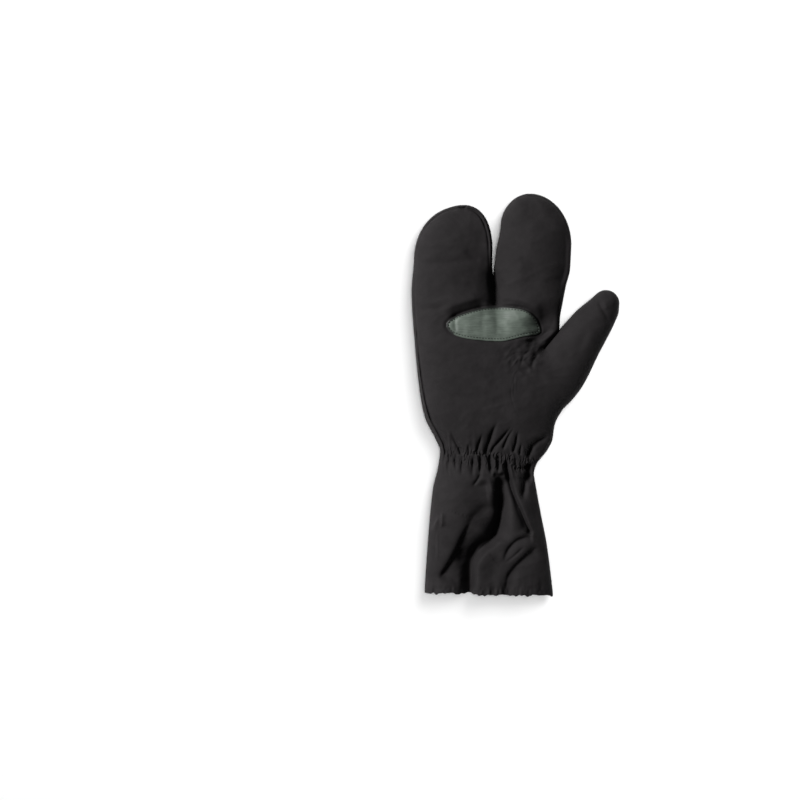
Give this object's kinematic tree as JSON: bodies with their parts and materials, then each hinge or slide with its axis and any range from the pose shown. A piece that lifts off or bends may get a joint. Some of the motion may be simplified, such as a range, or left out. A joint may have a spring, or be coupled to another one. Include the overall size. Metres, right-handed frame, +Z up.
{
  "type": "overmitt",
  "caption": "Waterproof shell overmitt for the right hand, with two finger lobes, a thumb, a grip patch, a gathered wrist and a flared cuff, lying palm up.",
  "frame": {"origin": "on the surface that it lies on, under the middle of its outline", "axes": "+X towards the thumb side, +Y towards the fingertips, +Z up out of the palm"},
  "size_m": [0.1852, 0.3595, 0.0305],
  "materials": {
    "shell_cloth": "satin",
    "grip_patch": "satin"
  },
  "bodies": {
    "root": {"palm_panel": "shell_cloth", "back_panel": "shell_cloth", "thumb_front": "shell_cloth", "thumb_back": "shell_cloth", "grip_patch": "grip_patch", "wrist_band_front": "shell_cloth", "wrist_band_back": "shell_cloth", "cuff_front": "shell_cloth", "cuff_back": "shell_cloth", "hem_front": "shell_cloth", "hem_back": "shell_cloth"}
  },
  "joints": []
}
